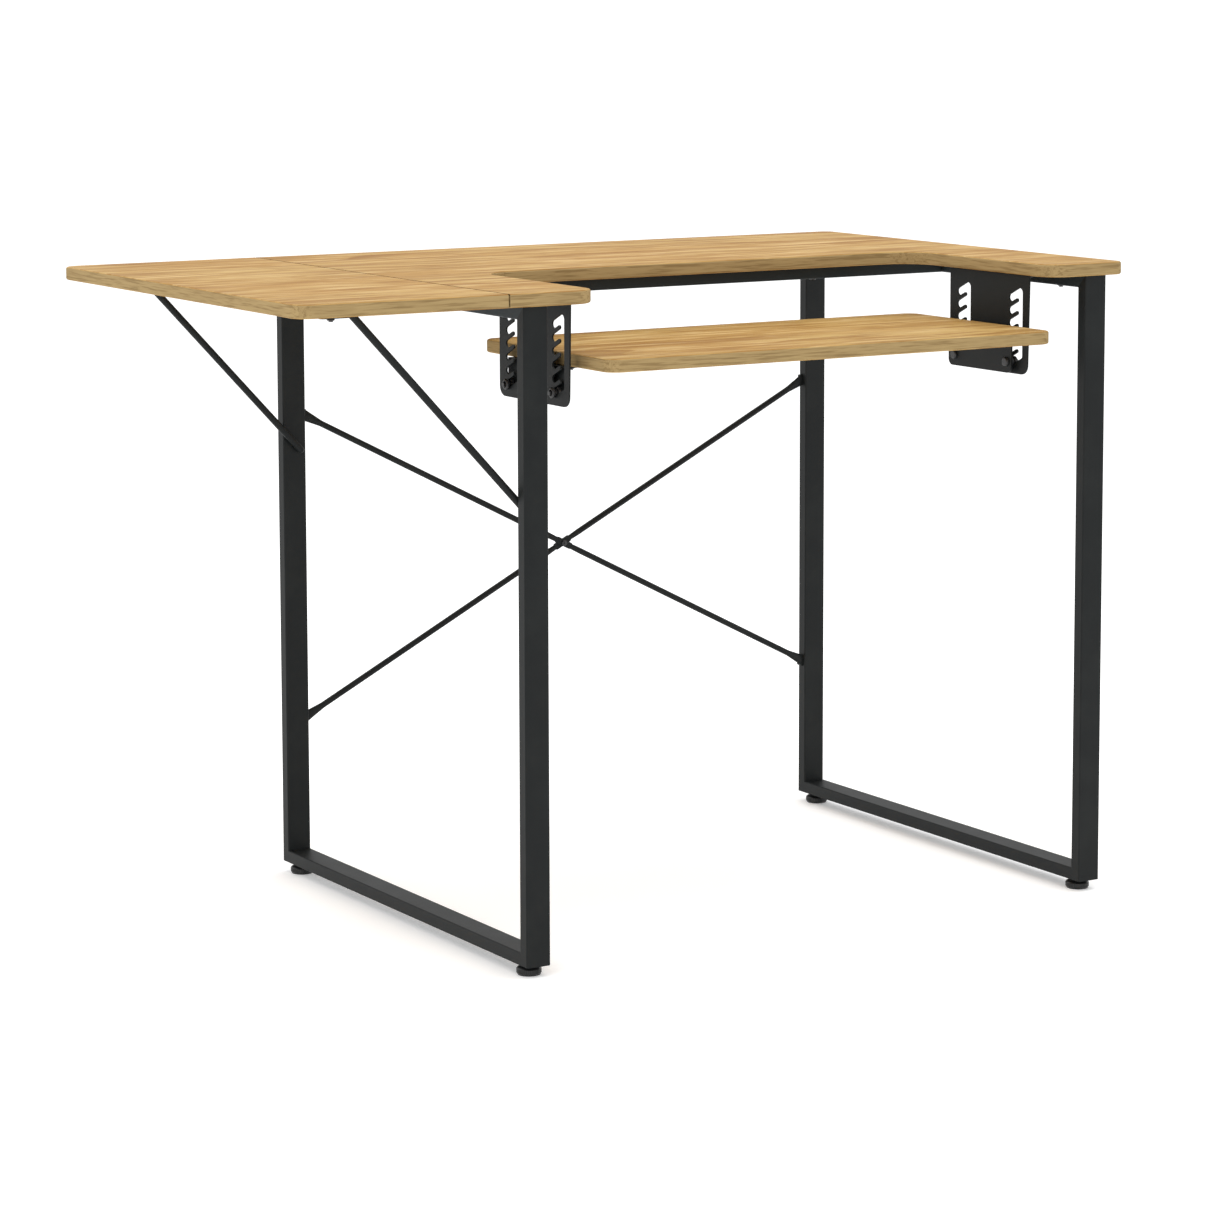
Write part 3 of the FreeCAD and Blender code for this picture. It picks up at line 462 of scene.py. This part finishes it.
def makePad(name, nodeName, body):
    # moulded pad: ribbed rim, sloping shoulder and a collar round the stud
    low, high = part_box(nodeName)
    middle = (low + high) / 2
    radius = (high.x - low.x) / 2
    tall = high.z - low.z
    deselectAll()
    wide = radius - footStyle["baseInset"]
    bpy.ops.mesh.primitive_cylinder_add(vertices=footStyle["ribs"] * 4, radius=wide,
                                        depth=footStyle["base"],
                                        location=(middle.x, middle.y, low.z + footStyle["base"] / 2))
    pad = bpy.context.object
    pad.name = name
    bpy.ops.object.transform_apply(location=True)
    top = lambda polygon: polygon.normal.z > 0.9
    centre = (middle.x, middle.y, 0)
    # rise and radius of each level above the base
    levels = ((footStyle["baseRise"], radius),
              (footStyle["ribHigh"] - footStyle["ribLow"], radius),
              (footStyle["rimRise"], radius - footStyle["rimInset"]),
              (footStyle["shoulder"] - footStyle["ribHigh"], radius * footStyle["shoulderShare"]),
              (tall - footStyle["shoulder"] - footStyle["collarLoss"],
               radius * footStyle["collarShare"]))
    pickFaces(pad, top)
    for rise, reach in levels:
        bpy.ops.mesh.extrude_region_move(TRANSFORM_OT_translate={"value": (0, 0, rise)})
        share = reach / wide
        bpy.ops.transform.resize(value=(share, share, 1), center_override=centre)
        wide = reach
    bpy.ops.object.mode_set(mode="OBJECT")
    # every other group of rim faces is let in to leave upright ribs
    def isGroove(polygon):
        height = polygon.center.z - low.z
        onRim = footStyle["ribLow"] - 0.001 < height < footStyle["grooveTop"]
        spot = math.atan2(polygon.center.y - middle.y, polygon.center.x - middle.x)
        group = int((spot + math.pi) / (2 * math.pi) * footStyle["ribs"] * 2)
        return abs(polygon.normal.z) < 0.3 and onRim and group % 2 == 0
    pickFaces(pad, isGroove)
    bpy.ops.mesh.inset(thickness=0.0002, use_individual=False)
    letIn = 1 - footStyle["ribDepth"] / radius
    bpy.ops.transform.resize(value=(letIn, letIn, 1), center_override=centre)
    bpy.ops.object.mode_set(mode="OBJECT")
    bpy.ops.object.shade_smooth_by_angle(angle=math.radians(28))
    pad.data.materials.append(mouldedPlastic)
    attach(pad, body)
    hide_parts(nodeName)


def makeStud(name, nodeName, body):
    # threaded stud: a rounded tooth wound up the length by the Screw modifier
    low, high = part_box(nodeName)
    middle = (low + high) / 2
    radius = (high.x - low.x) / 2
    pitch = footStyle["threadPitch"]
    core = radius - footStyle["threadDepth"]
    turns = int((high.z - low.z) / pitch) - 1
    deselectAll()
    bpy.ops.mesh.primitive_plane_add(size=1)
    thread = bpy.context.object
    thread.data.clear_geometry()
    thread.data.from_pydata([(core, 0, 0), (core, 0, pitch * 0.2), (radius, 0, pitch * 0.45),
                             (radius, 0, pitch * 0.6), (core, 0, pitch)],
                            [(0, 1), (1, 2), (2, 3), (3, 4)], [])
    wind = thread.modifiers.new("wind", "SCREW")
    wind.angle = 2 * math.pi
    wind.screw_offset = pitch
    wind.iterations = turns
    wind.steps = footStyle["threadSteps"]
    wind.render_steps = footStyle["threadSteps"]
    wind.use_merge_vertices = True
    bpy.ops.object.modifier_apply(modifier=wind.name)
    deselectAll()
    bpy.ops.mesh.primitive_cylinder_add(vertices=footStyle["threadSteps"], radius=core + 0.00003,
                                        depth=high.z - low.z,
                                        location=(0, 0, (high.z - low.z) / 2))
    shaft = bpy.context.object
    bpy.ops.object.transform_apply(location=True)
    bevelRim(shaft, high.z - low.z, 0.0007, 2)
    thread.select_set(True)
    shaft.select_set(True)
    bpy.context.view_layer.objects.active = thread
    bpy.ops.object.join()
    stud = bpy.context.view_layer.objects.active
    stud.name = name
    stud.data.transform(Matrix.Translation((middle.x, middle.y, low.z)))
    bpy.ops.object.shade_smooth_by_angle(angle=math.radians(35))
    stud.data.materials.clear()
    stud.data.materials.append(steelThread)
    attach(stud, body)
    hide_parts(nodeName)


for corner in ("front_left", "front_right", "back_left", "back_right"):
    place = corner.title().replace("_", "")
    makePad("pad" + place, corner + "_foot_pad", corner + "_foot")
    makeStud("stud" + place, corner + "_foot_stud", corner + "_foot")
print("feet")


# ---------- studio ----------
studio = {
    "cameraPlace": (-2.2862, -3.8159, 1.0965), "yaw": 30.928, "tilt": 6.86, "roll": 0.17,
    "lens": 113.45,
    "shiftX": 0.0069, "shiftY": -0.15, "floorSize": 60.0, "worldStrength": 1.08, "floorGlow": 0.16}


def makeStudio():
    bpy.ops.mesh.primitive_plane_add(size=studio["floorSize"], location=(0, 0, -0.0002))
    floor = bpy.context.object
    floor.name = "studioFloor"
    f = Finish("studioWhite")
    soft = f.noise(f.place(), 3.0, 2.0, 0.5)
    white = f.blend(soft, tint(0.98, 0.98, 0.98), tint(1.0, 1.0, 1.0))
    floor.data.materials.append(f.shade(
        Base_Color=white, Roughness=0.9, Specular_IOR_Level=0.1,
        Emission_Color=tint(1, 1, 1), Emission_Strength=studio["floorGlow"]))

    world = bpy.data.worlds.new("studioWorld")
    bpy.context.scene.world = world
    world.use_nodes = True
    world.node_tree.nodes["Background"].inputs["Color"].default_value = tint(1, 1, 1)
    world.node_tree.nodes["Background"].inputs["Strength"].default_value = studio["worldStrength"]

    for name, place, aim, size, power in (
            ("topLight", (0.2, -0.2, 3.6), (0.1, 0.0, 0.4), 3.2, 55.0),
            ("leftLight", (-3.4, -1.2, 1.5), (0.0, 0.0, 0.4), 2.0, 22.0)):
        bpy.ops.object.light_add(type="AREA", location=place)
        lamp = bpy.context.object
        lamp.name = name
        lamp.data.size = size
        lamp.data.energy = power
        lamp.rotation_euler = (Vector(aim) - Vector(place)).to_track_quat("-Z", "Y").to_euler()

    bpy.ops.object.camera_add(location=studio["cameraPlace"])
    camera = bpy.context.object
    camera.name = "studioCamera"
    camera.rotation_mode = "QUATERNION"
    turn = Matrix.Rotation(math.radians(-studio["yaw"]), 4, "Z")
    tip = Matrix.Rotation(math.radians(90 - studio["tilt"]), 4, "X")
    lean = Matrix.Rotation(math.radians(-studio["roll"]), 4, "Z")
    camera.rotation_quaternion = (turn @ tip @ lean).to_quaternion()
    camera.data.sensor_width = 36.0
    camera.data.lens = studio["lens"]
    camera.data.shift_x = studio["shiftX"]
    camera.data.shift_y = studio["shiftY"]
    camera.data.clip_end = 100.0
    bpy.context.scene.camera = camera
    bpy.context.scene.view_settings.view_transform = "Standard"
    bpy.context.scene.view_settings.look = "None"


makeStudio()
print("studio ready")
